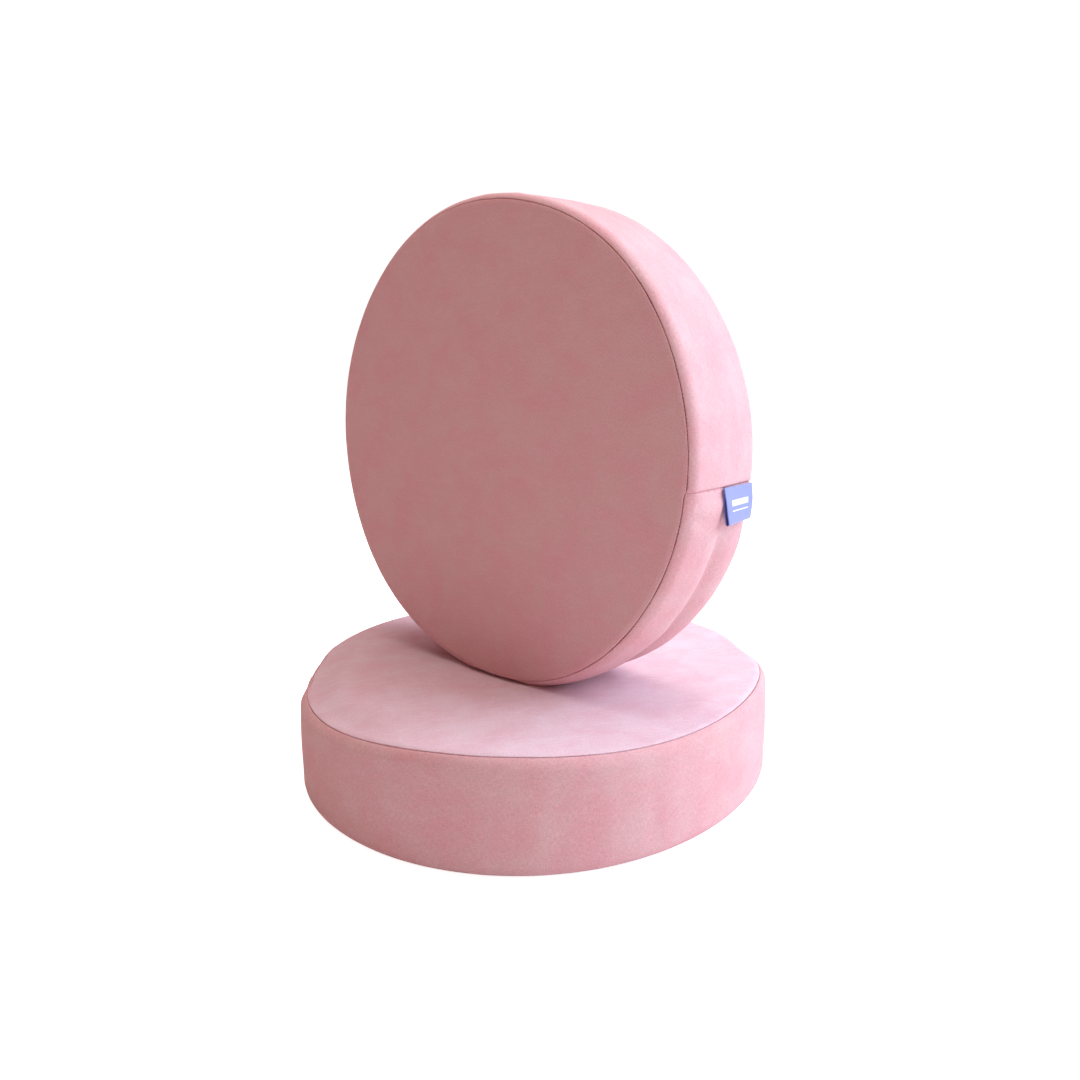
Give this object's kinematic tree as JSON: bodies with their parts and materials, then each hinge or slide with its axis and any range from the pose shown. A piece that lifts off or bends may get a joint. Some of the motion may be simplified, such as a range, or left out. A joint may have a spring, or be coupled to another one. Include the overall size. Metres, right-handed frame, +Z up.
{
  "type": "stacked round floor cushions",
  "caption": "Round boxed foam floor cushions with zipped velvet covers and loop labels, stacked one flat and one on its rim.",
  "frame": {"origin": "middle of the lower cushion's base, on the floor", "axes": "+Z up; the standing cushion's front face looks along -Y and its label hangs on the +X side"},
  "size_m": [0.4524, 0.45, 0.5533],
  "materials": {
    "velvet": "short dusty pink pile",
    "foam": "open cell foam, matt",
    "zip_tape": "woven tape",
    "zip_teeth": "moulded, satin",
    "zip_metal": "plated, satin",
    "ribbon": "woven satin ribbon",
    "thread": "polyester thread"
  },
  "bodies": {
    "lower_cushion": {"lower_foam_core": "foam", "lower_top_panel": "velvet", "lower_base_panel": "velvet", "lower_plain_boxing": "velvet", "lower_zip_strip_top": "velvet", "lower_zip_strip_base": "velvet", "lower_zip_tape_top": "zip_tape", "lower_zip_tape_base": "zip_tape", "lower_zip_teeth_top": "zip_teeth", "lower_zip_teeth_base": "zip_teeth", "lower_zip_end_stops": "zip_metal", "lower_zip_bottom_stop": "zip_metal", "lower_seam_thread": "thread"},
    "lower_slider": {"lower_zip_slider": "zip_metal"},
    "lower_pull": {"lower_zip_pull": "zip_metal"},
    "lower_label": {"lower_loop_label": "ribbon"},
    "upper_cushion": {"upper_foam_core": "foam", "upper_front_panel": "velvet", "upper_back_panel": "velvet", "upper_plain_boxing": "velvet", "upper_zip_strip_front": "velvet", "upper_zip_strip_back": "velvet", "upper_zip_tape_front": "zip_tape", "upper_zip_tape_back": "zip_tape", "upper_zip_teeth_front": "zip_teeth", "upper_zip_teeth_back": "zip_teeth", "upper_zip_end_stops": "zip_metal", "upper_zip_bottom_stop": "zip_metal", "upper_seam_thread": "thread"},
    "upper_slider": {"upper_zip_slider": "zip_metal"},
    "upper_pull": {"upper_zip_pull": "zip_metal"},
    "upper_label": {"upper_loop_label": "ribbon"}
  },
  "joints": [
    {"name": "upper_lift", "type": "slide", "parent": "lower_cushion", "child": "upper_cushion", "axis": [0, 0, 1], "range_m": [0, 0.15]},
    {"name": "lower_zip_slide", "type": "hinge", "parent": "lower_cushion", "child": "lower_slider", "pos_m": [0, 0, 0.0515], "axis": [0, 0, 1], "range_deg": [0, 166], "deforming": ["lower_zip_strip_top", "lower_zip_strip_base", "lower_zip_tape_top", "lower_zip_tape_base", "lower_zip_teeth_top", "lower_zip_teeth_base"]},
    {"name": "lower_pull_swing", "type": "hinge", "parent": "lower_slider", "child": "lower_pull", "pos_m": [0.14017, 0.16878, 0.0515], "axis": [0, 0, -1], "range_deg": [0, 140]},
    {"name": "lower_label_swing", "type": "hinge", "parent": "lower_cushion", "child": "lower_label", "pos_m": [-0.15981, -0.15981, 0.0515], "axis": [0, 0, 1], "range_deg": [-5, 120]},
    {"name": "upper_zip_slide", "type": "hinge", "parent": "upper_cushion", "child": "upper_slider", "pos_m": [0, -0.013, 0.3283], "axis": [0, -1, 0], "range_deg": [0, 166], "deforming": ["upper_zip_strip_front", "upper_zip_strip_back", "upper_zip_tape_front", "upper_zip_tape_back", "upper_zip_teeth_front", "upper_zip_teeth_back"]},
    {"name": "upper_pull_swing", "type": "hinge", "parent": "upper_slider", "child": "upper_pull", "pos_m": [-0.21938, -0.013, 0.33102], "axis": [0, 1, 0], "range_deg": [0, 140]},
    {"name": "upper_label_swing", "type": "hinge", "parent": "upper_cushion", "child": "upper_label", "pos_m": [0.22476, -0.013, 0.30468], "axis": [0, -1, 0], "range_deg": [-5, 120]}
  ]
}
